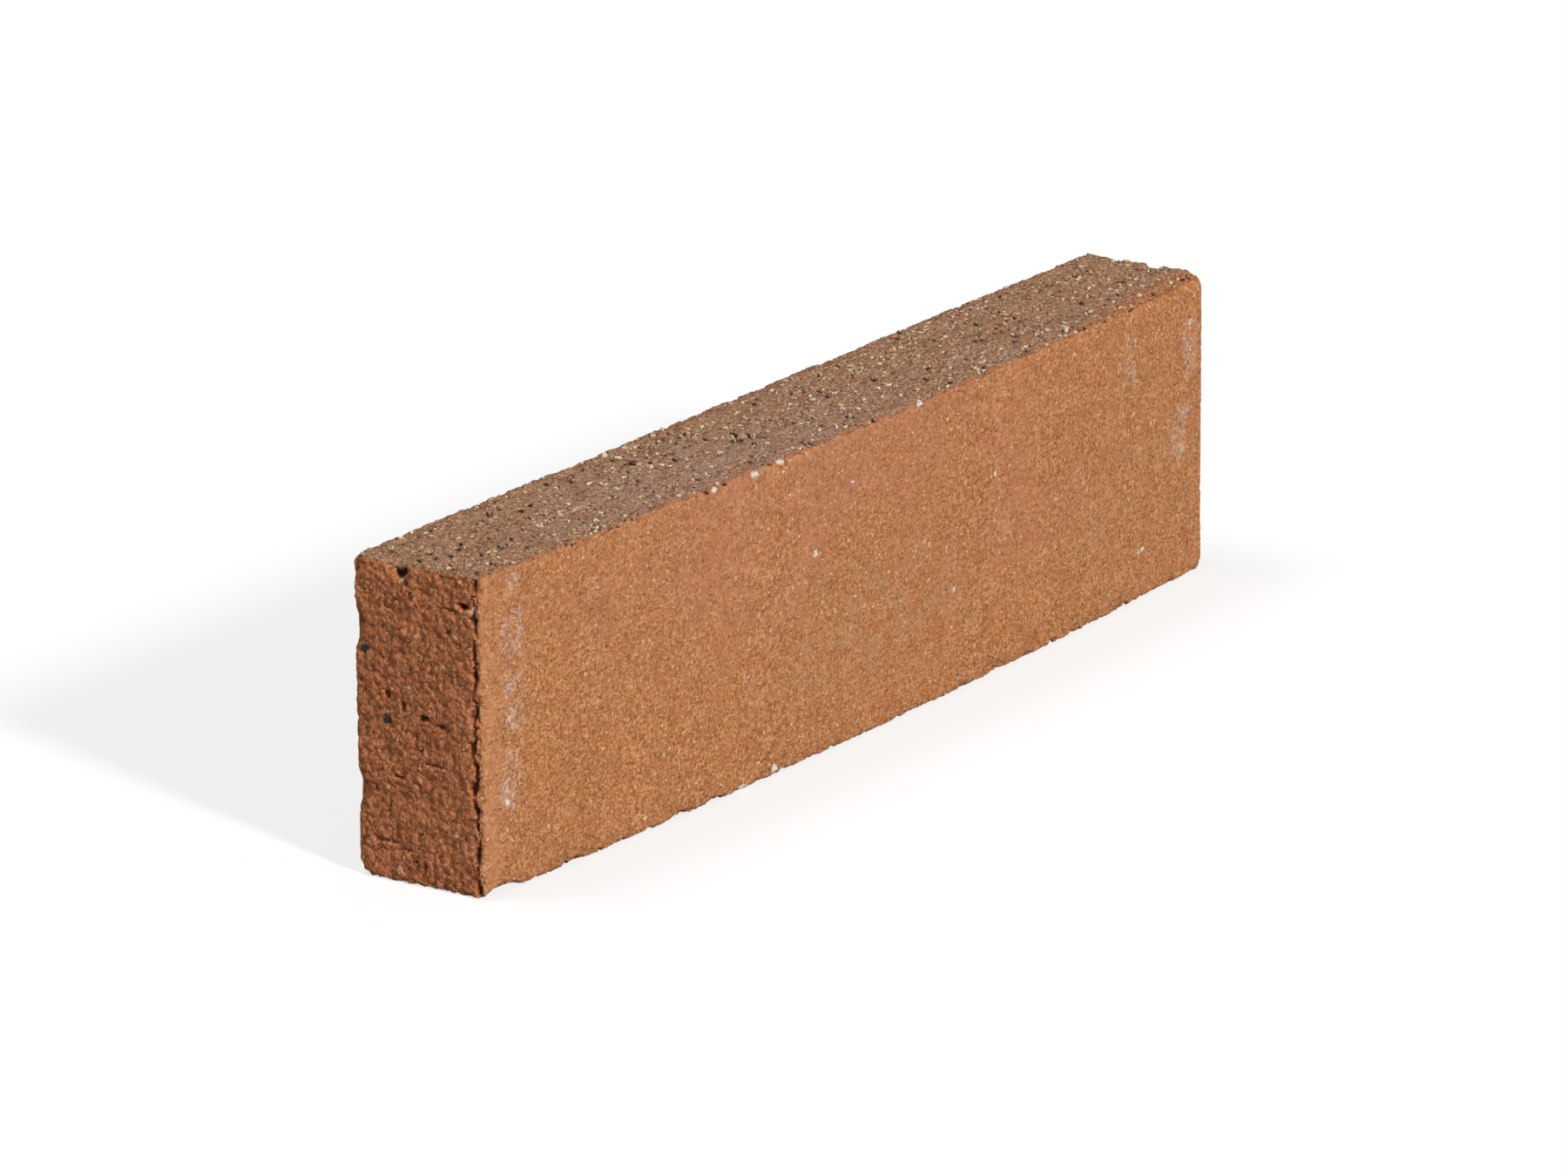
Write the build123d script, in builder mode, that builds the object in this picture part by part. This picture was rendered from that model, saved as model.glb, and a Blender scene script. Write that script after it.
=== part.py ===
from build123d import *
import os

# A solid clay brick of a long, thin format, fired as one piece, standing on a long narrow side.
# Length runs along X. The straight broad face looks to +Y, the slightly bowed one to -Y.

# Overall sizes in millimetres
brick_length = 400.0
brick_height = 100.0
end_thickness = 46.5
front_bow = 6.0

# Rounding of the arrises, small all round and larger where the far corner is worn
arris_radius = 1.6
worn_corner_radius = 4.0

# Hollows torn in the top by the cut: place along, place across, half width, depth
top_hollows = (
    (-90.2, -12.5, 2.1, 1.7),
    (-63.4, 0.5, 1.6, 1.4),
    (-37.0, -1.8, 2.8, 1.7),
    (-33.5, -3.2, 1.8, 1.6),
    (-7.7, -2.1, 1.7, 1.4),
    (-6.5, 4.9, 1.8, 1.5),
    (117.1, -19.0, 1.9, 1.7),
    (143.0, -21.6, 1.8, 1.5),
    (151.4, 13.9, 1.6, 1.5),
    (152.8, -22.4, 2.7, 2.1),
)

# Hollows in the near end: place across, height, half width, depth
end_hollows = (
    (9.0, 97.0, 2.6, 2.4),
    (-13.8, 90.1, 1.8, 1.7),
    (23.1, 79.8, 1.4, 1.2),
    (-16.8, 57.5, 1.8, 1.3),
    (1.0, 52.9, 1.9, 1.4),
    (8.3, 55.4, 1.5, 1.3),
    (-16.6, 47.5, 1.8, 1.4),
    (-16.8, 34.5, 2.0, 1.6),
    (-17.6, 13.5, 1.8, 1.4),
)

# Dents along the near back arris: height, half width, depth
back_dents = (
    (77.5, 6.0, 1.6),
    (27.0, 5.5, 1.4),
)

# Dent in the near end of the front bottom arris
foot_dent_from_end = 10.0
foot_dent_half_width = 8.0
foot_dent_depth = 2.2

# Places that follow from the sizes
half_length = brick_length / 2
back_y = (end_thickness + front_bow) / 2
end_front_y = back_y - end_thickness
bow_crest_y = end_front_y - front_bow
foot_dent_x = foot_dent_from_end - half_length
foot_dent_y = end_front_y - front_bow * (1 - (foot_dent_x / half_length) ** 2)

# Turn that keeps the seam of a ball outside the brick
seam_outward = (0, 0, 180)


def scoop_radius(half_width, depth):
    # A scoop of that half width and depth is part of a ball of this radius
    return (half_width**2 + depth**2) / (2 * depth)


with BuildPart() as brick:
    # Plan of the brick, three straight sides and the bowed front
    with BuildSketch(Plane.XY) as plan:
        with BuildLine() as plan_outline:
            Polyline(
                (-half_length, end_front_y),
                (-half_length, back_y),
                (half_length, back_y),
                (half_length, end_front_y),
            )
            ThreePointArc((half_length, end_front_y), (0, bow_crest_y), (-half_length, end_front_y))
        make_face()
    extrude(amount=brick_height)

    # The worn far front corner, then every remaining arris
    upright_edges = brick.edges().filter_by(Axis.Z)
    worn_corner = upright_edges.group_by(Axis.X)[-1].sort_by(Axis.Y)[0]
    fillet(worn_corner, radius=worn_corner_radius)
    near_and_back_uprights = brick.edges().filter_by(Axis.Z).filter_by(
        lambda edge: edge.center().X < 0 or edge.center().Y > 0
    )
    end_edges = brick.faces().filter_by(Axis.Z).edges()
    fillet(near_and_back_uprights + end_edges, radius=arris_radius)

    # Scoops for the hollows in the top and in the near end
    for along, across, half_width, depth in top_hollows:
        ball = scoop_radius(half_width, depth)
        with Locations((along, across, brick_height + ball - depth)):
            Sphere(ball, mode=Mode.SUBTRACT)
    for across, up, half_width, depth in end_hollows:
        ball = scoop_radius(half_width, depth)
        with Locations((depth - ball - half_length, across, up)):
            Sphere(ball, rotation=seam_outward, mode=Mode.SUBTRACT)

    # Scoops for the dents, set out from the arris at equal distance from both faces
    for up, half_width, depth in back_dents:
        ball = scoop_radius(half_width, depth)
        out = (ball - depth) / 2**0.5
        with Locations((-half_length - out, back_y + out, up)):
            Sphere(ball, rotation=seam_outward, mode=Mode.SUBTRACT)
    foot_ball = scoop_radius(foot_dent_half_width, foot_dent_depth)
    foot_out = (foot_ball - foot_dent_depth) / 2**0.5
    with Locations((foot_dent_x, foot_dent_y - foot_out, -foot_out)):
        Sphere(foot_ball, mode=Mode.SUBTRACT)

brick.part.label = "brick"
os.makedirs("parts", exist_ok=True)
export_step(brick.part, "parts/brick.step")
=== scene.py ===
import math

import bmesh
import bpy
from mathutils import Matrix, Vector


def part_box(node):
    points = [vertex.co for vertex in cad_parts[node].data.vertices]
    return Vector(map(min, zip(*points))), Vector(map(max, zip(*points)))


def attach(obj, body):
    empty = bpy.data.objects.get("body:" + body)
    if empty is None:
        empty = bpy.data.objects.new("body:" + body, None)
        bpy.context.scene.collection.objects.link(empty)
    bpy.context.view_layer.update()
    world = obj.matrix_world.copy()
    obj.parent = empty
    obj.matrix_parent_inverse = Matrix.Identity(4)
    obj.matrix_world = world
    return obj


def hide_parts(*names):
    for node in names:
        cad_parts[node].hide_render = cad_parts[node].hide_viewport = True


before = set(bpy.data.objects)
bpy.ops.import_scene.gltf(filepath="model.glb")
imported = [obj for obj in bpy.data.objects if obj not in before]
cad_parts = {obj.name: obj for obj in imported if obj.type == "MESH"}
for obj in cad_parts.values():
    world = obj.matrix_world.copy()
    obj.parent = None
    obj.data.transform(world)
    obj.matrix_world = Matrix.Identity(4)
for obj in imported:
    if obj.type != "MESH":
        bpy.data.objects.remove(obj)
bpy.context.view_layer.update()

# The brick is one solid piece of fired clay of a long, thin format. The clay is pressed out as a
# column and cut by wires, so the broad faces are sandy and close, the narrow sides and the ends
# torn and pitted. It stands on a narrow side, and its front bows out a little between the ends.

brick_low, brick_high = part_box("brick")
brick_length = brick_high.x - brick_low.x
brick_height = brick_high.z - brick_low.z
front_bow = 0.006
end_thickness = brick_high.y - brick_low.y - front_bow
front_at_ends = brick_high.y - end_thickness
bow_stations = 24
arris_radius = 0.0016
arris_facets = 4
arris_angle = math.radians(40)
worn_corner_radius = 0.004
worn_corner_facets = 5
weld_distance = 0.00001

bpy.ops.object.select_all(action="DESELECT")
bpy.ops.mesh.primitive_cube_add(
    size=1,
    location=(0, brick_high.y - end_thickness / 2, brick_low.z + brick_height / 2),
    scale=(brick_length, end_thickness, brick_height),
)
brick = bpy.context.object
brick.name = "clay_brick"
bpy.ops.object.transform_apply(location=True, rotation=True, scale=True)


def pick(kind, wanted):
    """Selects those vertices or edges of the brick that pass the test."""
    bpy.ops.mesh.select_all(action="DESELECT")
    form = bmesh.from_edit_mesh(brick.data)
    for element in getattr(form, kind):
        if wanted(element):
            element.select_set(True)
    bmesh.update_edit_mesh(brick.data)


def runs_along_length(edge):
    return abs(edge.verts[0].co.x - edge.verts[1].co.x) > brick_length / 2


def is_worn_upright(edge):
    first, second = (vertex.co for vertex in edge.verts)
    at_far_end = min(first.x, second.x) > brick_length / 2 - weld_distance
    at_front = max(first.y, second.y) < front_at_ends + weld_distance
    return at_far_end and at_front and abs(first.z - second.z) > brick_height / 2


# Stations along the length, each brought forward for the bow of the front
bpy.ops.object.mode_set(mode="EDIT")
bpy.ops.mesh.select_mode(type="EDGE")
pick("edges", runs_along_length)
bpy.ops.mesh.subdivide(number_cuts=bow_stations - 1)
bpy.ops.mesh.select_mode(type="VERT")
for station in range(1, bow_stations):
    station_x = brick_low.x + brick_length * station / bow_stations
    reach = 1 - (2 * station_x / brick_length) ** 2
    pick(
        "verts",
        lambda vertex: abs(vertex.co.x - station_x) < weld_distance
        and vertex.co.y < front_at_ends + weld_distance,
    )
    bpy.ops.transform.translate(value=(0, -front_bow * reach, 0))

# The worn far corner and then every other arris rounded
bpy.ops.mesh.select_mode(type="EDGE")
pick("edges", is_worn_upright)
bpy.ops.mesh.bevel(offset=worn_corner_radius, segments=worn_corner_facets, affect="EDGES")
bpy.ops.mesh.select_all(action="DESELECT")
bpy.ops.mesh.edges_select_sharp(sharpness=arris_angle)
bpy.ops.mesh.bevel(offset=arris_radius, segments=arris_facets, affect="EDGES")
bpy.ops.object.mode_set(mode="OBJECT")

# An even skin that is fine enough to carry pits and grains
skin_step = 0.0005
skin = brick.modifiers.new("even_skin", "REMESH")
skin.mode = "VOXEL"
skin.voxel_size = skin_step
bpy.ops.object.modifier_apply(modifier=skin.name)


def tone(code):
    """Linear colour of a hexadecimal tone."""
    parts = [int(code[start : start + 2], 16) / 255 for start in (0, 2, 4)]
    linear = [part / 12.92 if part < 0.04045 else ((part + 0.055) / 1.055) ** 2.4 for part in parts]
    return linear + [1.0]


class ClayNodes:
    """Adds nodes to a tree. The relief and the colour of the clay use the same patterns."""

    def __init__(self, tree):
        self.tree = tree

    def add(self, kind, inputs=(), **settings):
        node = self.tree.nodes.new(kind)
        for name, value in settings.items():
            setattr(node, name, value)
        for key, value in dict(inputs).items():
            if isinstance(value, bpy.types.NodeSocket):
                self.tree.links.new(value, node.inputs[key])
            else:
                node.inputs[key].default_value = value
        return node

    def number(self, operation, *values):
        return self.add("ShaderNodeMath", enumerate(values), operation=operation).outputs[0]

    def total(self, *values):
        result = values[0]
        for value in values[1:]:
            result = self.number("ADD", result, value)
        return result

    def product(self, *values):
        result = values[0]
        for value in values[1:]:
            result = self.number("MULTIPLY", result, value)
        return result

    def vector(self, operation, *values):
        node = self.add("ShaderNodeVectorMath", enumerate(values), operation=operation)
        return node.outputs["Value" if operation in ("LENGTH", "DOT_PRODUCT") else "Vector"]

    def scaled(self, vector, factor):
        node = self.add("ShaderNodeVectorMath", {0: vector, "Scale": factor}, operation="SCALE")
        return node.outputs["Vector"]

    def turned(self, point, axis, degrees):
        turn = {"Vector": point, "Angle": math.radians(degrees)}
        return self.add("ShaderNodeVectorRotate", turn, rotation_type=axis).outputs[0]

    def step(self, value, start, end):
        """Rises softly from 0 at start to 1 at end. Start may be the larger of the two."""
        low, high, at_low, at_high = (start, end, 0.0, 1.0) if start < end else (end, start, 1.0, 0.0)
        return self.add(
            "ShaderNodeMapRange",
            {0: value, 1: low, 2: high, 3: at_low, 4: at_high},
            interpolation_type="SMOOTHSTEP",
        ).outputs[0]

    def spread(self, point, size, stretch, shift):
        return self.vector("MULTIPLY_ADD", point, [part / size for part in stretch], shift)

    def noise(self, point, size, stretch=(1, 1, 1), shift=(0, 0, 0), detail=2.0, roughness=0.5):
        place = self.spread(point, size, stretch, shift)
        return self.add(
            "ShaderNodeTexNoise",
            {"Vector": place, "Scale": 1.0, "Detail": detail, "Roughness": roughness},
        )

    def lumps(self, point, size, **settings):
        """Soft lumps about that many millimetres across, from 0 to 1 about a half."""
        return self.noise(point, size, **settings).outputs[0]

    def swing(self, point, size, **settings):
        """The same lumps, about nought."""
        return self.number("SUBTRACT", self.lumps(point, size, **settings), 0.5)

    def granules(self, point, size, stretch=(1, 1, 1), shift=(0, 0, 0)):
        """Packed granules of that size: the distance from each one's heart, and its chances."""
        place = self.spread(point, size, stretch, shift)
        cells = self.add("ShaderNodeTexVoronoi", {"Vector": place, "Scale": 1.0})
        chances = self.add("ShaderNodeSeparateXYZ", {0: cells.outputs["Color"]})
        return cells.outputs["Distance"], chances.outputs

    def flakes(self, point, size, shift):
        """Flakes of that size, each leaning its own way: their height about nought."""
        place = self.spread(point, size, (1, 1, 1), shift)
        cells = self.add("ShaderNodeTexVoronoi", {"Vector": place, "Scale": 1.0})
        lean = self.vector("SUBTRACT", cells.outputs["Color"], (0.5, 0.5, 0.5))
        away = self.vector("SUBTRACT", place, cells.outputs["Position"])
        return self.product(self.vector("DOT_PRODUCT", away, lean), size)

    def scatter(self, point, size, share, smallest, largest, **settings):
        """Loose bodies, in that share of granules: 1 inside a body, its chance, and 1 in its rim."""
        away, chances = self.granules(point, size, **settings)
        there = self.number("LESS_THAN", chances[0], share)
        radius = self.add(
            "ShaderNodeMapRange",
            {0: chances[1], 1: 0.0, 2: 1.0, 3: smallest / size, 4: largest / size},
        ).outputs[0]
        ratio = self.number("DIVIDE", away, radius)
        inside = self.product(self.step(ratio, start=1.15, end=0.8), there)
        around = self.product(self.step(ratio, start=1.8, end=1.35), there)
        return inside, chances[2], self.number("SUBTRACT", around, inside)

    def mark(self, point, place, radii, start=1.15, end=0.55):
        """One mark: 1 at its middle, 0 beyond its radii in millimetres."""
        away = self.vector("DIVIDE", self.vector("SUBTRACT", point, place), radii)
        return self.step(self.vector("LENGTH", away), start, end)

    def marks(self, point, table, **softness):
        """All marks of a table, each at its own strength, the strongest where they meet."""
        result = None
        for place, radii, strength in table:
            here = self.product(self.mark(point, place, radii, **softness), strength)
            result = here if result is None else self.number("MAXIMUM", result, here)
        return result

    def blend(self, share, first, second):
        return self.add("ShaderNodeMix", {0: share, 6: first, 7: second}, data_type="RGBA").outputs[2]

    def tones(self, value, stops):
        """Runs through tones, each given with its place from 0 to 1."""
        node = self.add("ShaderNodeValToRGB", {0: value})
        ramp = node.color_ramp
        while len(ramp.elements) < len(stops):
            ramp.elements.new(1.0)
        for element, (place, code) in zip(ramp.elements, stops):
            element.position = place
            element.color = tone(code)
        return node.outputs[0]


# Patterns are measured in millimetres. Grains and pits are taken from packed granules, in a share
# of them that grows where they crowd on the narrow sides and is small on the ends.
millimetres = 1000
half_length = millimetres * brick_length / 2
half_height = millimetres * brick_height / 2
wander_size = 1.8
wander_reach = 2.6
pit_wander_reach = 1.3
least_share = 0.25
crowded_share = 0.35
end_grain_share = 0.12
end_pit_share = 0.15
side_pit_turn = 36
end_pit_turn = 40


def clay_patterns(clay, rest, facing):
    """What relief and colour share, by the unworn point and the way its face looks."""
    point = clay.scaled(rest, millimetres)
    squared = clay.vector("MULTIPLY", facing, facing)
    end, bed, side = clay.add("ShaderNodeSeparateXYZ", {0: squared}).outputs
    stir = clay.noise(point, size=wander_size, detail=3.0).outputs["Color"]
    wander = clay.vector("SUBTRACT", stir, (0.5, 0.5, 0.5))
    wandered = clay.vector("ADD", point, clay.scaled(wander, wander_reach))
    swayed = clay.vector("ADD", point, clay.scaled(wander, pit_wander_reach))

    crowd = clay.step(clay.lumps(point, size=12, shift=(1, 7, 4)), start=0.4, end=0.58)
    crowd = clay.total(least_share, clay.product(crowd, crowded_share))
    side_share = clay.product(side, crowd)
    grains, chance, rims = clay.scatter(
        wandered, size=2.3, share=side_share, smallest=0.3, largest=1.0
    )
    end_grains, end_chance, end_rims = clay.scatter(
        wandered,
        size=2.6,
        share=clay.product(end, end_grain_share),
        smallest=0.3,
        largest=0.7,
        shift=(6, 6, 1),
    )
    grains = clay.number("MAXIMUM", grains, end_grains)
    chance = clay.total(clay.product(chance, side), clay.product(end_chance, end))
    rims = clay.number("MAXIMUM", rims, end_rims)
    rims = clay.product(rims, clay.step(clay.lumps(point, size=1.5), start=0.45, end=0.6))

    side_pits = clay.scatter(
        clay.turned(swayed, "Z_AXIS", side_pit_turn),
        size=3.6,
        share=side_share,
        smallest=0.4,
        largest=1.45,
        stretch=(1.5, 0.6, 1),
        shift=(11, 2, 9),
    )[0]
    end_pits = clay.scatter(
        clay.turned(swayed, "X_AXIS", end_pit_turn),
        size=3.8,
        share=clay.product(end, end_pit_share),
        smallest=0.3,
        largest=0.75,
        stretch=(1, 0.6, 1.5),
        shift=(2, 9, 5),
    )[0]
    pits = clay.number("MAXIMUM", side_pits, end_pits)
    return point, wandered, (end, bed, side), grains, rims, pits, chance


def behind_front(clay, place):
    """How far a place in millimetres lies behind the bowed front, and its three parts."""
    along, across, up = clay.add("ShaderNodeSeparateXYZ", {0: place}).outputs
    share = clay.number("DIVIDE", along, half_length)
    bow_here = clay.number("SUBTRACT", 1.0, clay.product(share, share))
    bow_here = clay.product(bow_here, millimetres * front_bow)
    depth = clay.number("SUBTRACT", clay.total(across, bow_here), millimetres * front_at_ends)
    return depth, along, across, up


# Relief of the clay, cut inwards from the brick's full size


def shaping(name):
    """A new group of nodes that takes a shape and gives it back changed."""
    group = bpy.data.node_groups.new(name, "GeometryNodeTree")
    for way in ("INPUT", "OUTPUT"):
        group.interface.new_socket("Geometry", in_out=way, socket_type="NodeSocketGeometry")
    return group


relief = shaping("clay_relief")
clay = ClayNodes(relief)


def keep(shape, name, value, kind):
    """Keeps a value at each point of the skin, for the colour to read."""
    return clay.add(
        "GeometryNodeStoreNamedAttribute",
        {"Geometry": shape, "Name": name, "Value": value},
        data_type=kind,
        domain="POINT",
    ).outputs[0]


def kept(name):
    node = clay.add("GeometryNodeInputNamedAttribute", {"Name": name}, data_type="FLOAT_VECTOR")
    return node.outputs[0]


shape = clay.add("NodeGroupInput").outputs[0]
shape = keep(shape, "rest", clay.add("GeometryNodeInputPosition").outputs[0], "FLOAT_VECTOR")
shape = keep(shape, "facing", clay.add("GeometryNodeInputNormal").outputs[0], "FLOAT_VECTOR")
facing = kept("facing")
point, wandered, ways, grains, rims, pits = clay_patterns(clay, kept("rest"), facing)[:6]


def by_face(values):
    """A value for the ends, one for the broad faces and one for the narrow sides."""
    return clay.total(*(clay.product(way, value) for way, value in zip(ways, values)))


# Height of each relief on the ends, the broad faces and the narrow sides
wave_height = (1.4, 0.9, 1.2)
lump_height = (0.95, 0, 0.9)
pebble_height = (-0.9, 0, -0.5)
tear_height = (0.85, 0, 0.6)
flake_height = (0.35, 0, 0.3)
drag_height = (0, 0, 0.4)
grain_height = (0.3, 0, 0.7)
pit_height = (-1.0, 0, -1.0)
skin_inset = (0.25, 0.15, 0.2)
rim_depth = 0.6
tear_turn = 45

# Waves of the cut, lumps, pebbles, tears that slant down the ends, and drag lines along the sides
waves = clay.product(clay.swing(point, size=34), by_face(wave_height))
lumps = clay.product(clay.swing(point, size=6, detail=3.0), by_face(lump_height))
pebble_away = clay.granules(wandered, size=2.0, shift=(4, 4, 7))[0]
pebbles = clay.product(pebble_away, pebble_away, by_face(pebble_height))
slant = clay.turned(point, "X_AXIS", tear_turn)
tears = clay.swing(slant, size=2.4, stretch=(0.8, 0.45, 1.2), detail=3.0, roughness=0.6)
tears = clay.product(tears, by_face(tear_height))
flakes = clay.product(clay.flakes(wandered, size=2.6, shift=(8, 3, 5)), by_face(flake_height))
drags = clay.product(clay.swing(point, size=2.2, stretch=(0.03, 1, 1)), by_face(drag_height))
raised = clay.product(grains, by_face(grain_height))
sunk = clay.number("MAXIMUM", pits, clay.product(rims, rim_depth))
sunk = clay.product(sunk, by_face(pit_height))

# Chips along the arrises, by the distance from the nearest one
chip_reach = 4.0
nick_reach = 2.4
chip_slope = -0.45
from_front, along, across, up = behind_front(clay, point)
from_end = clay.number("SUBTRACT", half_length, clay.number("ABSOLUTE", along))
from_middle = clay.number("ABSOLUTE", clay.number("SUBTRACT", up, half_height))
from_side = clay.number("SUBTRACT", half_height, from_middle)
from_back = clay.number("SUBTRACT", millimetres * brick_high.y, across)
from_bed = clay.number("MINIMUM", from_front, from_back)
lesser = clay.number("MINIMUM", from_end, from_side)
greater = clay.number("MAXIMUM", from_end, from_side)
from_arris = clay.number("MAXIMUM", lesser, clay.number("MINIMUM", greater, from_bed))
chips = clay.step(clay.lumps(point, size=9, detail=3.0), start=0.47, end=0.75)
nicks = clay.step(clay.lumps(point, size=2.6, detail=2.0), start=0.45, end=0.7)
chips = clay.total(clay.product(chips, chip_reach), clay.product(nicks, nick_reach))
chips = clay.number("MAXIMUM", clay.number("SUBTRACT", chips, from_arris), 0.0)
chips = clay.product(chips, chip_slope)

# A crevice that wanders down each end beside its front arris, and closes to a hairline in places
crevice_setback = 2.4
crevice_sway = 6.0
crevice_width = 2.2
crevice_depth = 2.0
hairline = 0.01
level = clay.vector("MULTIPLY", point, (0, 0, 1))
crevice_place = clay.product(clay.swing(level, size=13, detail=3.0), crevice_sway)
crevice_place = clay.total(crevice_setback, crevice_place)
crevice_away = clay.number("SUBTRACT", behind_front(clay, wandered)[0], crevice_place)
opening = clay.lumps(level, size=6, shift=(5, 5, 5), detail=3.0)
opening = clay.product(clay.step(opening, start=0.36, end=0.7), crevice_width)
opening = clay.number("MAXIMUM", opening, hairline)
crevice = clay.number("DIVIDE", clay.number("ABSOLUTE", crevice_away), opening)
crevice = clay.number("MAXIMUM", clay.number("SUBTRACT", 1.0, crevice), 0.0)
crevice = clay.product(crevice, ways[0], crevice_depth)

# Hollows that stand out one by one, each with its place, its radii and its depth
near = -half_length
far = half_length
top = 2 * half_height
front = -24.5
end_hollows = (
    ((near, 8.4, 97.6), (3.0, 2.5, 3.2), 2.4),
    ((near, 6.8, 94.2), (2.0, 1.5, 1.5), 1.2),
    ((near, -13.8, 90.1), (2.5, 1.9, 1.1), 1.9),
    ((near, 23.1, 79.8), (2.0, 1.1, 1.4), 1.3),
    ((near, -8.2, 81.1), (2.0, 1.2, 1.1), 1.1),
    ((near, 14.3, 58.3), (2.0, 1.2, 1.4), 1.3),
    ((near, 8.3, 55.4), (2.0, 1.3, 1.6), 1.4),
    ((near, 1.0, 52.9), (2.0, 2.4, 1.2), 1.4),
    ((near, -5.0, 51.2), (2.0, 2.2, 0.9), 1.1),
    ((near, 10.8, 33.0), (2.0, 2.2, 0.9), 1.2),
    ((near, 24.6, 29.9), (2.0, 1.3, 2.2), 1.3),
    ((near, 19.0, 28.2), (2.0, 0.8, 1.4), 1.0),
    ((near, 1.6, 6.1), (2.0, 0.8, 2.0), 1.3),
    ((near, -9.0, 88.1), (2.0, 4.8, 0.6), 1.0),
    ((near, -2.8, 38.8), (2.0, 4.4, 0.6), 1.0),
    ((near, 15.5, 12.2), (2.0, 5.5, 0.6), 1.0),
    ((near, 8.0, 10.9), (2.0, 3.2, 0.7), 1.0),
    ((near, -17.0, 57.5), (2.0, 1.6, 2.6), 1.2),
    ((near, -16.6, 47.5), (2.0, 1.6, 2.4), 1.3),
    ((near, -16.9, 34.5), (2.0, 1.8, 2.8), 1.5),
    ((near, -18.0, 13.5), (2.0, 1.5, 3.0), 1.3),
)
side_hollows = (
    ((-37.4, -1.8, top), (4.6, 1.7, 2.0), 2.0),
    ((-33.5, -3.2, top), (1.9, 1.5, 2.0), 1.6),
    ((-6.5, 4.9, top), (2.4, 1.2, 2.0), 1.5),
    ((-7.7, -2.1, top), (2.2, 1.1, 2.0), 1.4),
    ((-63.4, 0.5, top), (1.9, 1.3, 2.0), 1.4),
    ((-90.2, -12.5, top), (2.5, 1.7, 2.0), 1.7),
    ((-97.0, -5.4, top), (1.9, 1.1, 2.0), 1.2),
    ((-121.8, -5.4, top), (1.6, 1.1, 2.0), 1.1),
    ((-72.4, -9.2, top), (1.9, 1.1, 2.0), 1.3),
    ((108.0, 0.0, top), (2.2, 1.1, 2.0), 1.1),
    ((118.2, 2.2, top), (3.2, 1.1, 2.0), 1.2),
    ((117.1, -19.0, top), (2.4, 1.4, 2.0), 1.7),
    ((143.0, -22.0, top), (2.2, 1.3, 2.0), 1.5),
    ((152.8, -23.0, top), (3.2, 2.2, 2.6), 2.1),
    ((151.4, 13.9, top), (1.9, 1.3, 2.0), 1.5),
    ((189.1, -13.8, top), (1.9, 1.4, 2.0), 1.3),
    ((-153.9, -22.7, 99.6), (2.4, 1.6, 1.5), 1.4),
    ((51.7, -25.8, 52.2), (1.0, 2.0, 2.6), 0.9),
)
# Corners and stretches of arris knocked off by handling, in the same order of sizes
knocks = (
    ((178.0, -21.5, top), (26.0, 5.0, 4.5), 1.2),
    ((far, -19.0, top), (5.0, 5.0, 4.0), 1.2),
    ((far, -1.0, top), (4.0, 3.0, 3.0), 1.6),
    ((far, -20.3, 0.0), (4.5, 4.5, 4.5), 1.4),
    ((-190.0, -21.0, 0.0), (9.0, 5.0, 3.5), 1.8),
    ((near, 26.2, 0.0), (4.0, 4.0, 4.0), 1.0),
    ((near, 26.2, top), (3.0, 3.0, 3.0), 0.6),
    ((near, 26.2, 77.5), (4.0, 4.0, 7.0), 1.3),
    ((near, 26.2, 27.0), (4.0, 4.0, 6.0), 1.0),
    ((near, 11.5, top), (5.0, 4.5, 3.0), 1.3),
)
hollows = clay.number("MAXIMUM", clay.marks(wandered, end_hollows + side_hollows), crevice)
knocked = clay.marks(wandered, knocks)
shape = keep(shape, "hollow", hollows, "FLOAT")

height = clay.total(waves, lumps, pebbles, tears, flakes, drags, raised, sunk, chips)
height = clay.number("SUBTRACT", clay.number("SUBTRACT", height, hollows), knocked)
height = clay.number("MINIMUM", clay.number("SUBTRACT", height, by_face(skin_inset)), 0.0)
offset = clay.scaled(facing, clay.product(height, 1 / millimetres))
shape = clay.add("GeometryNodeSetPosition", {"Geometry": shape, "Offset": offset}).outputs[0]
clay.add("NodeGroupOutput", {0: shape})


def carve(group):
    carving = brick.modifiers.new(group.name, "NODES")
    carving.node_group = group
    bpy.ops.object.modifier_apply(modifier=carving.name)


carve(relief)

# Flat stretches take fewer triangles, so that pits and tears keep theirs
most_triangles = 195000
triangles = sum(len(face.vertices) - 2 for face in brick.data.polygons)
thinning = brick.modifiers.new("thinning", "DECIMATE")
thinning.ratio = most_triangles / triangles
bpy.ops.object.modifier_apply(modifier=thinning.name)

# No point stands out past the brick's full size
size_limit = shaping("size_limit")
clay = ClayNodes(size_limit)
place = clay.add("GeometryNodeInputPosition").outputs[0]
place = clay.vector("MAXIMUM", clay.vector("MINIMUM", place, brick_high), brick_low)
shape = clay.add("NodeGroupInput").outputs[0]
shape = clay.add("GeometryNodeSetPosition", {"Geometry": shape, "Position": place}).outputs[0]
clay.add("NodeGroupOutput", {0: shape})
carve(size_limit)
bpy.ops.object.shade_smooth()

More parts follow.
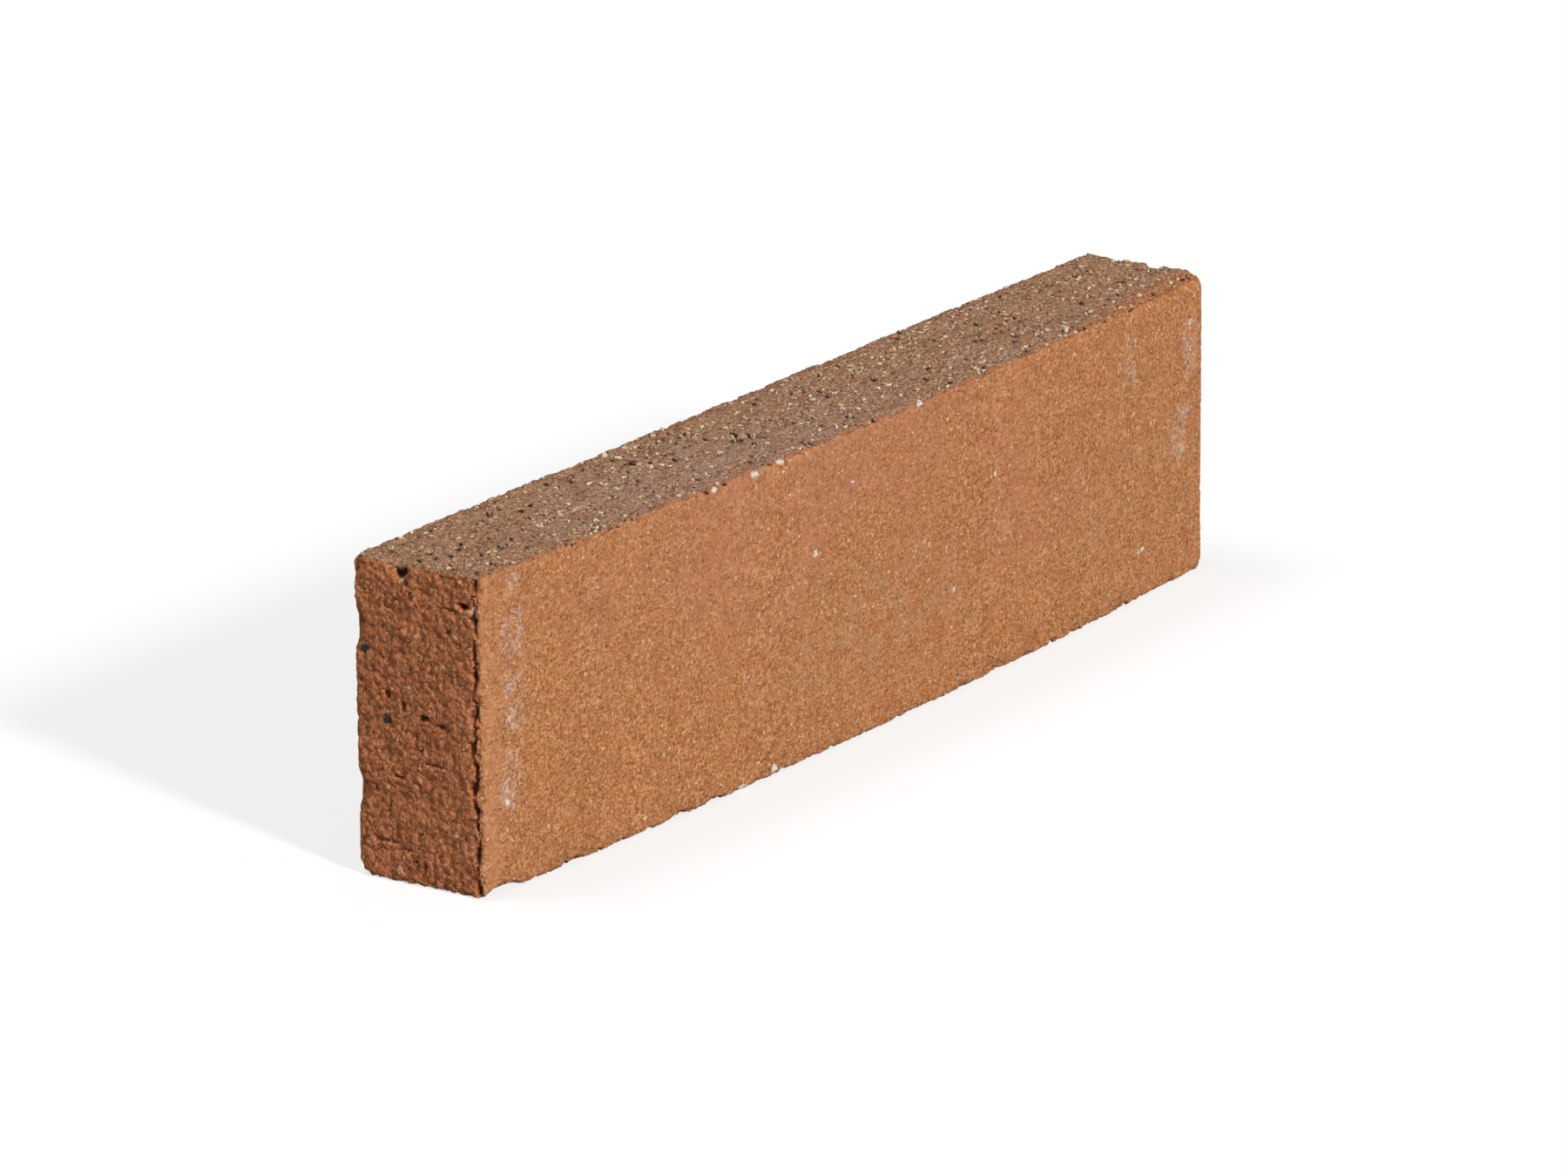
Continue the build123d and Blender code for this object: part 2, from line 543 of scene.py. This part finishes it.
# Fired clay, sandy orange on the broad faces, taupe on the narrow sides, red brown at the ends
fired_clay = bpy.data.materials.new("fired_clay")
fired_clay.use_nodes = True
fired_clay.node_tree.nodes.clear()
clay = ClayNodes(fired_clay.node_tree)
rest = clay.add("ShaderNodeAttribute", attribute_name="rest").outputs["Vector"]
facing = clay.add("ShaderNodeAttribute", attribute_name="facing").outputs["Vector"]
hollow = clay.add("ShaderNodeAttribute", attribute_name="hollow").outputs["Fac"]
point, wandered, ways, grains, rims, pits, grain_chance = clay_patterns(clay, rest, facing)
end, bed, side = ways
torn = clay.number("SUBTRACT", 1.0, bed)
from_front, along, across = behind_front(clay, wandered)[:3]

# Sand, the clouds and blotches in it, fibres of the tear, and pale and dark specks
fibre_turn = 45
cloud = clay.lumps(point, size=45, detail=3.0)
mottle = clay.lumps(point, size=9, detail=4.0, roughness=0.6)
blotch = clay.lumps(point, size=4, stretch=(0.6, 1, 1), shift=(3, 9, 4), detail=3.0, roughness=0.6)
gravel = clay.lumps(point, size=2.2, shift=(9, 1, 6), detail=3.0, roughness=0.6)
streak = clay.lumps(point, size=2.0, stretch=(0.04, 1, 1))
sand = clay.lumps(point, size=0.9, detail=2.0, roughness=0.6)
slant = clay.turned(point, "X_AXIS", fibre_turn)
fibres = clay.lumps(slant, size=1.4, stretch=(0.9, 0.4, 1.3), detail=2.5, roughness=0.55)
pale, pale_chance = clay.scatter(
    wandered, size=1.6, share=0.5, smallest=0.22, largest=0.55, shift=(3, 1, 2)
)[:2]
dark, dark_chance = clay.scatter(
    wandered, size=1.9, share=0.3, smallest=0.22, largest=0.55, shift=(7, 5, 2)
)[:2]

# Patches seen on the front and the top, each with its place, its radii and its strength
wide_slope = {"start": 1.6, "end": 0.0}
warm_patches = (
    ((-30, front, 82), (130, 20, 40), 0.6),
    ((70, front, 55), (70, 20, 28), 0.45),
)
dull_patches = (
    ((-5, front, 38), (60, 20, 26), 0.6),
    ((150, front, 40), (50, 20, 40), 0.4),
)
warm = clay.marks(point, warm_patches, **wide_slope)
dull = clay.marks(point, dull_patches, **wide_slope)
handled = clay.mark(point, (-65, -10, top), (95, 26, 20), start=1.3, end=0.3)
# A strip of the front beside the near end is painted lighter, a painted highlight where its edge turns
# to the light
near_strip_highlight = clay.step(along, start=-186.0, end=-196.0)
all_over = 1.0


def coated(under, coats):
    """Lays coats over a tone. Each has where it lies, the pattern that it follows, the pattern's
    values at which it starts and is full, its share and its tone."""
    for where, pattern, start, full, share, code in coats:
        cover = clay.product(where, clay.step(pattern, start, full), share)
        under = clay.blend(cover, under, tone(code))
    return under


bed_sand = ((0.28, "844A28"), (0.44, "B07042"), (0.56, "C18251"), (0.74, "EAB788"))
bed_coats = (
    (warm, cloud, 0.3, 0.6, 1.0, "BC7D5E"),
    (all_over, mottle, 0.48, 0.7, 0.45, "A96A42"),
    (dull, mottle, 0.56, 0.4, 1.0, "B0845E"),
    (near_strip_highlight, mottle, 0.35, 0.6, 0.5, "CE8E66"),
    (all_over, gravel, 0.52, 0.7, 0.4, "DCA478"),
    (all_over, gravel, 0.48, 0.3, 0.4, "95592F"),
)
dark_speck_share = 0.7
bed_tone = coated(clay.tones(sand, bed_sand), bed_coats)
bed_tone = clay.blend(clay.product(pale, pale_chance), bed_tone, tone("F0C89C"))
bed_tone = clay.blend(clay.product(dark, dark_chance, dark_speck_share), bed_tone, tone("7A4A2C"))

side_sand = ((0.28, "603C24"), (0.44, "A97B5B"), (0.56, "C18F6C"), (0.74, "F4D0A8"))
side_coats = (
    (all_over, mottle, 0.48, 0.66, 0.55, "A06A46"),
    (all_over, blotch, 0.52, 0.68, 0.55, "74503A"),
    (all_over, blotch, 0.46, 0.32, 0.5, "B29478"),
)
side_specks = (
    (pale, pale_chance, 0.25, 0.85, 1.0, "F8E4CC"),
    (dark, dark_chance, 0.0, 0.5, 1.0, "321C10"),
    (all_over, across, 21.0, 26.0, 0.3, "96603F"),
)
front_smear_share = 0.6
handled_smear_share = 0.5
smear = clay.product(
    clay.step(streak, start=0.48, end=0.68),
    clay.step(from_front, start=26.0, end=4.0),
    front_smear_share,
)
handled = clay.product(handled, clay.step(streak, start=0.36, end=0.6), handled_smear_share)
smear = clay.number("MAXIMUM", smear, handled)
side_tone = coated(clay.tones(sand, side_sand), side_coats)
side_tone = clay.blend(smear, side_tone, tone("B89686"))
side_tone = coated(side_tone, side_specks)

end_sand = ((0.28, "9E5A35"), (0.44, "BE7246"), (0.56, "C87C50"), (0.74, "DA9A6C"))
end_coats = (
    (all_over, mottle, 0.5, 0.7, 0.4, "A9603C"),
    # The pale fibre coat is painted highlight on the ridges of the fibres that the bump raises, and the
    # dark fibre coat is painted shade in the troughs between them
    (all_over, fibres, 0.52, 0.7, 0.4, "D8A272"),
    (all_over, fibres, 0.46, 0.3, 0.35, "6A361C"),
    (pale, pale_chance, 0.6, 1.0, 1.0, "E8BE94"),
    (dark, dark_chance, 0.4, 1.0, 0.8, "4A2814"),
)
end_tone = coated(clay.tones(sand, end_sand), end_coats)

# The three finishes meet in ragged lines, and the front's curls over on to the narrow sides
ragged_reach = 0.6
curl_reach = 3.0
far_curl_reach = 9.0
curl_ragged_reach = 10.0
curl_share = 0.85
curl_brown_share = 0.5
ragged = clay.product(clay.swing(point, size=3, detail=3.0), ragged_reach)
at_end = clay.step(clay.total(end, ragged), start=0.4, end=0.6)
at_bed = clay.step(clay.total(bed, ragged), start=0.3, end=0.7)
surface_tone = clay.blend(at_end, side_tone, end_tone)
surface_tone = clay.blend(at_bed, surface_tone, bed_tone)
far_curl = clay.product(clay.step(along, start=110.0, end=185.0), far_curl_reach)
curl_ragged = clay.swing(point, size=6, detail=5.0, roughness=0.75)
curl = clay.number(
    "DIVIDE",
    clay.total(from_front, clay.product(curl_ragged, curl_ragged_reach)),
    clay.total(curl_reach, far_curl),
)
curl = clay.product(clay.step(curl, start=1.1, end=0.2), side)
curl_tone = clay.blend(curl_brown_share, bed_tone, tone("B26C3E"))
surface_tone = clay.blend(clay.product(curl, curl_share), surface_tone, curl_tone)

# Grains in their own tones, golden on the ends where the gold is partly painted highlight, and painted
# shade, near black, in the pits, the rims about grains and the hollows
grain_tones = ((0.0, "A86E48"), (0.25, "CC9A70"), (0.48, "F4D2A6"), (0.74, "FFF2DA"))
grain_cover = 0.55
more_on_sides = 0.35
pit_shade_cover = 0.95
rim_shade_cover = 0.8
# On the ends the grains are blended to gold, partly the grains' own tone and partly painted highlight
grain_and_highlight_tone = clay.blend(end, clay.tones(grain_chance, grain_tones), tone("DCAE78"))
grain_share = clay.product(grains, clay.total(grain_cover, clay.product(side, more_on_sides)))
surface_tone = clay.blend(grain_share, surface_tone, grain_and_highlight_tone)
# The painted shade is fullest in the deepest hollows, the crevice beside the front arris among them
deep_shade = clay.step(hollow, start=0.4, end=1.7)
pit_shade_share = clay.number("MAXIMUM", clay.product(pits, pit_shade_cover), clay.product(rims, rim_shade_cover))
pit_shade_share = clay.number("MAXIMUM", pit_shade_share, clay.product(deep_shade, pit_shade_cover))
surface_tone = clay.blend(pit_shade_share, surface_tone, tone("27150A"))

# Salts that bloomed out of the front, thin between the grains of sand
bloom_marks = (
    ((-184.5, front + 3, 80.0), (5.5, 6.0, 22.0), 0.95),
    ((-184.0, front + 3, 58.0), (5.0, 6.0, 10.0), 1.0),
    ((-187.0, front + 3, 34.0), (6.0, 6.0, 10.0), 0.8),
    ((151.3, front + 2, 82.6), (6.0, 6.0, 10.0), 0.6),
    ((189.0, front + 4, 78.0), (6.0, 6.0, 12.0), 0.6),
    ((183.4, front + 4, 53.2), (9.0, 6.0, 6.0), 0.9),
    ((199.0, front + 4, 50.0), (4.0, 6.0, 9.0), 1.0),
    ((179.9, front + 3, 43.8), (8.0, 6.0, 3.5), 0.9),
)
thinnest_bloom = 0.3
bloom_on_sand = 0.6
bloom = clay.lumps(point, size=8, detail=5.0, roughness=0.7)
bloom = clay.product(clay.marks(wandered, bloom_marks), clay.step(bloom, start=0.38, end=0.66))
on_sand = clay.product(clay.step(sand, start=0.42, end=0.62), bloom_on_sand)
bloom = clay.product(bloom, clay.total(thinnest_bloom, on_sand))
surface_tone = clay.blend(bloom, surface_tone, tone("DCC2B2"))

# Lime specks, pale grog and burnt lumps, each with its place, its radii and its strength
lime_specks = (
    ((-13.3, -26.2, 83.4), (1.2, 2.0, 1.2), 0.7),
    ((-33.8, -26.1, 65.4), (1.4, 2.0, 1.3), 0.75),
    ((42.5, -26.0, 33.8), (1.7, 2.0, 1.0), 0.75),
    ((67.1, -25.6, 66.0), (1.2, 2.0, 1.2), 0.6),
    ((157.2, -22.5, 16.4), (2.2, 2.0, 1.3), 0.6),
    ((165.5, -22.1, 58.3), (2.2, 2.0, 1.1), 0.5),
    ((189.5, -20.9, 85.4), (2.0, 2.0, 1.6), 0.6),
    ((-42.1, -26.0, 35.8), (1.3, 2.0, 1.2), 0.5),
    ((-188.2, -20.9, 28.4), (1.4, 2.0, 1.5), 0.85),
    ((-65.3, -25.7, 99.0), (2.0, 2.0, 1.8), 1.0),
    ((-51.8, -25.6, 99.8), (1.8, 2.0, 1.6), 1.0),
    ((-85.6, -25.2, 99.2), (1.6, 2.0, 1.4), 0.9),
    ((24.1, -26.0, 99.4), (2.2, 2.0, 1.4), 0.8),
    ((-73.8, -25.4, 1.2), (2.4, 2.0, 1.4), 0.9),
    ((-56.5, -25.8, 2.6), (1.8, 2.0, 1.6), 0.9),
)
grog_pieces = (
    ((near, 7.4, 95.0), (2.0, 1.3, 1.2), 1.0),
    ((near, 11.4, 99.0), (2.5, 2.0, 1.5), 0.8),
    ((near, -17.4, 89.2), (2.0, 2.0, 1.3), 1.0),
    ((near, -18.4, 84.6), (2.0, 1.6, 1.6), 0.7),
    ((near, -10.8, 80.3), (2.0, 1.7, 1.2), 0.9),
    ((near, 6.0, 61.5), (2.0, 1.2, 0.9), 0.9),
    ((near, -1.4, 55.4), (2.0, 2.4, 1.1), 0.6),
    ((near, -9.9, 18.6), (2.0, 2.0, 1.8), 0.6),
    ((near, 10.6, 4.2), (2.0, 1.8, 1.4), 0.8),
    ((-31.9, 16.0, top), (2.4, 1.5, 2.0), 1.0),
    ((-125.0, -3.0, top), (2.6, 1.5, 2.0), 0.9),
    ((-66.0, -9.0, top), (3.0, 1.6, 2.0), 0.8),
    ((150.0, -20.5, top), (2.4, 1.4, 2.0), 0.9),
)
burnt_lumps = (
    ((near, 22.3, 71.3), (2.0, 1.5, 1.9), 1.0),
    ((near, 14.5, 50.5), (2.0, 1.9, 1.9), 1.0),
)
crumb_reach = 1.8
grog_cover = 0.85
crumbs = clay.product(clay.swing(point, size=1.5, detail=4.0, roughness=0.65), crumb_reach)


def crumbled(table, start, full, least, sure):
    """Lumps with a crumbled edge: where crumbs make it start and fill, and how far it can reach."""
    heart = clay.marks(wandered, table, start=1.5, end=0.0)
    edge = clay.step(clay.total(heart, crumbs), start, full)
    return clay.product(edge, clay.step(heart, least, sure))


lime = crumbled(lime_specks, start=0.3, full=0.55, least=0.05, sure=0.25)
grog = crumbled(grog_pieces, start=0.4, full=0.65, least=0.1, sure=0.3)
burnt = crumbled(burnt_lumps, start=0.3, full=0.6, least=0.1, sure=0.3)
surface_tone = clay.blend(lime, surface_tone, tone("E6DAD2"))
surface_tone = clay.blend(clay.product(grog, grog_cover), surface_tone, tone("D4B690"))
surface_tone = clay.blend(burnt, surface_tone, tone("3A3634"))

# Finest relief, with its height on the ends, the broad faces and the narrow sides
fibre_rise = (0.75, 0, 0.75)
dome_rise = (-0.8, 0, -1.1)
bead_rise = (0, 0.55, 0)
sand_rise = (0.3, 0.5, 0.9)
flake_rise = 0.4
pale_rise = 0.15
dark_rise = -0.2
grit_away, grit_chances = clay.granules(wandered, size=1.6, shift=(1, 3, 2))
beads = clay.product(clay.step(grit_away, start=0.6, end=0.1), grit_chances[1], by_face(bead_rise))
fine = clay.total(
    clay.product(fibres, by_face(fibre_rise)),
    clay.product(grit_away, grit_away, by_face(dome_rise)),
    beads,
    clay.product(sand, by_face(sand_rise)),
    clay.product(clay.flakes(wandered, size=1.5, shift=(2, 8, 5)), torn, flake_rise),
    clay.product(pale, pale_rise),
    clay.product(dark, dark_rise),
)
bump = clay.add("ShaderNodeBump", {"Strength": 1.0, "Distance": 1 / millimetres, "Height": fine})
surface = clay.add(
    "ShaderNodeBsdfPrincipled",
    {
        "Base Color": surface_tone,
        "Roughness": 0.92,
        "Specular IOR Level": 0.25,
        "Normal": bump.outputs[0],
    },
)
clay.add("ShaderNodeOutputMaterial", {"Surface": surface.outputs[0]})
brick.data.materials.clear()
brick.data.materials.append(fired_clay)

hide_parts("brick")
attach(brick, "root")

# The stage is a plain pale floor that takes the shadow, in an even white room, under a soft key lamp
# from the front and a weaker one overhead. The camera stands off the near end and a little above, at
# the photograph's angle.

floor_size = 12
floor_grey = (0.35, 0.35, 0.35, 1.0)
white = (1.0, 1.0, 1.0, 1.0)


def seen_rays(tree):
    """1 on rays that the camera sees, also by way of glossy and clear things."""
    rays = tree.add("ShaderNodeLightPath").outputs
    seen = tree.number("MAXIMUM", rays["Is Camera Ray"], rays["Is Glossy Ray"])
    return tree.number("MAXIMUM", seen, rays["Is Transmission Ray"])


bpy.ops.mesh.primitive_plane_add(size=floor_size, location=(0, 0, 0))
floor = bpy.context.object
floor.name = "pale_floor"
floor_paint = bpy.data.materials.new("pale_floor_paint")
floor_paint.use_nodes = True
floor_paint.node_tree.nodes.clear()
stage = ClayNodes(floor_paint.node_tree)
matte = stage.add("ShaderNodeBsdfDiffuse", {"Color": floor_grey})
glow = stage.add("ShaderNodeEmission", {"Color": white, "Strength": 0.7})
lifted = stage.add("ShaderNodeAddShader", {0: matte.outputs[0], 1: glow.outputs[0]})
floor_mix = stage.add(
    "ShaderNodeMixShader", {0: seen_rays(stage), 1: matte.outputs[0], 2: lifted.outputs[0]}
)
stage.add("ShaderNodeOutputMaterial", {"Surface": floor_mix.outputs[0]})
floor.data.materials.append(floor_paint)

room = bpy.data.worlds.new("white_room")
room.use_nodes = True
room.node_tree.nodes.clear()
walls = ClayNodes(room.node_tree)
room_light = walls.add("ShaderNodeBackground", {"Color": white, "Strength": 0.22})
room_white = walls.add("ShaderNodeBackground", {"Color": white, "Strength": 1.0})
room_mix = walls.add(
    "ShaderNodeMixShader", {0: seen_rays(walls), 1: room_light.outputs[0], 2: room_white.outputs[0]}
)
walls.add("ShaderNodeOutputWorld", {"Surface": room_mix.outputs[0]})
bpy.context.scene.world = room

# Lamps with the way to each, its strength and its width in degrees
lamps = (
    ("key", (-0.3, -1.0, 0.5), 2.75, 6),
    ("overhead", (-0.2, 0.3, 1.0), 0.9, 20),
)
for lamp_name, toward, strength, width in lamps:
    lamp = bpy.data.lights.new(lamp_name, "SUN")
    lamp.energy = strength
    lamp.angle = math.radians(width)
    holder = bpy.data.objects.new(lamp_name, lamp)
    holder.rotation_euler = Vector(toward).to_track_quat("Z", "Y").to_euler()
    bpy.context.scene.collection.objects.link(holder)

camera_turn = math.radians(-55.36)
camera_rise = math.radians(17.27)
camera_roll = math.radians(-0.54)
camera_distance = 3.0068
camera_aside = -0.00515
camera_above = -0.00876
camera_lens = 222.0
camera_sensor = 36
camera_sight = 100
camera_aim = Vector((0, front_bow / 2, brick_height / 2))
toward_camera = Vector(
    (
        math.sin(camera_turn) * math.cos(camera_rise),
        -math.cos(camera_turn) * math.cos(camera_rise),
        math.sin(camera_rise),
    )
)
level_right = Vector((0, 0, 1)).cross(toward_camera).normalized()
level_up = toward_camera.cross(level_right)
camera_right = level_right * math.cos(camera_roll) + level_up * math.sin(camera_roll)
camera_up = level_up * math.cos(camera_roll) - level_right * math.sin(camera_roll)
camera_place = (
    camera_aim + camera_right * camera_aside + camera_up * camera_above + toward_camera * camera_distance
)
camera_axes = Matrix((camera_right, camera_up, toward_camera)).transposed().to_4x4()
camera = bpy.data.objects.new("camera", bpy.data.cameras.new("camera"))
camera.data.sensor_width = camera_sensor
camera.data.lens = camera_lens
camera.data.clip_end = camera_sight
camera.matrix_world = Matrix.Translation(camera_place) @ camera_axes
bpy.context.scene.collection.objects.link(camera)
bpy.context.scene.camera = camera
bpy.context.scene.view_settings.view_transform = "Standard"
